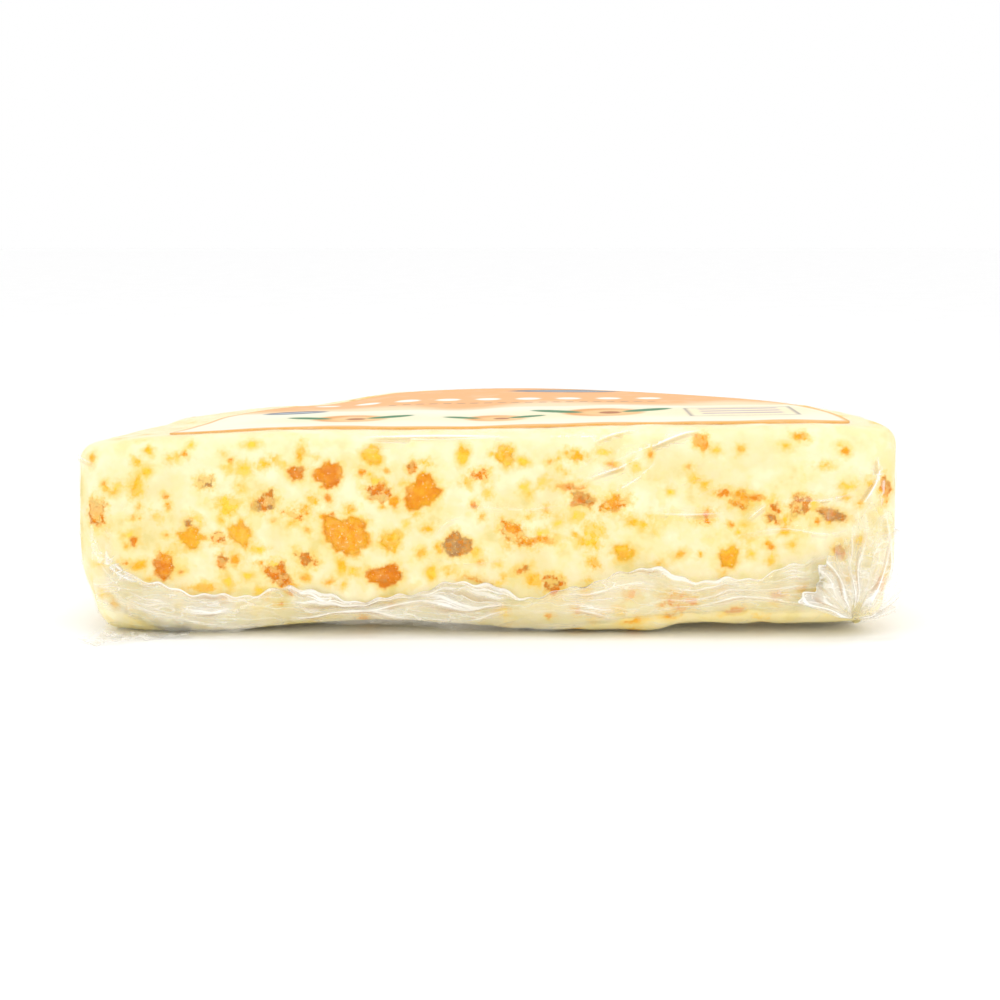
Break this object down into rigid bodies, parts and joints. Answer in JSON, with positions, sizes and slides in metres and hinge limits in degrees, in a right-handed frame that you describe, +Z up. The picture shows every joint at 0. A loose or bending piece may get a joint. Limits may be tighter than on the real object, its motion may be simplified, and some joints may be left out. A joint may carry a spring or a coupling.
{
  "type": "half wheel of white stilton with apricot",
  "caption": "Half wheel of pale crumbly cheese with apricot pieces, vacuum sealed in clear film with a seam fin, a gathered corner and a half-round label on top.",
  "frame": {"origin": "middle of the underside of the whole pack's box, on the table", "axes": "+X along the cut face to the right as seen from the front, -Y out of the cut face, +Z up"},
  "size_m": [0.215, 0.1168, 0.0563],
  "materials": {
    "sealed_cheese": "clear glossy vacuum film over pale ivory paste",
    "apricot": "moist dried fruit under clear film",
    "label": "coated printed paper"
  },
  "bodies": {
    "root": {"apricot_cut_01": "apricot", "apricot_cut_02": "apricot", "apricot_cut_03": "apricot", "apricot_cut_04": "apricot", "apricot_cut_05": "apricot", "apricot_cut_06": "apricot", "apricot_cut_07": "apricot", "apricot_cut_08": "apricot", "apricot_cut_09": "apricot", "apricot_cut_10": "apricot", "apricot_cut_11": "apricot", "apricot_cut_12": "apricot", "apricot_cut_13": "apricot", "apricot_cut_14": "apricot", "apricot_cut_15": "apricot", "apricot_cut_16": "apricot", "apricot_cut_17": "apricot", "apricot_cut_18": "apricot", "apricot_cut_19": "apricot", "apricot_cut_20": "apricot", "apricot_cut_21": "apricot", "apricot_cut_22": "apricot", "apricot_cut_23": "apricot", "apricot_cut_24": "apricot", "apricot_side_01": "apricot", "apricot_side_02": "apricot", "apricot_side_03": "apricot", "apricot_side_04": "apricot", "apricot_side_05": "apricot", "apricot_side_06": "apricot", "apricot_side_07": "apricot", "apricot_side_08": "apricot", "apricot_side_09": "apricot", "apricot_side_10": "apricot", "apricot_side_11": "apricot", "label": "label", "sealed_cheese": "sealed_cheese"}
  },
  "joints": []
}
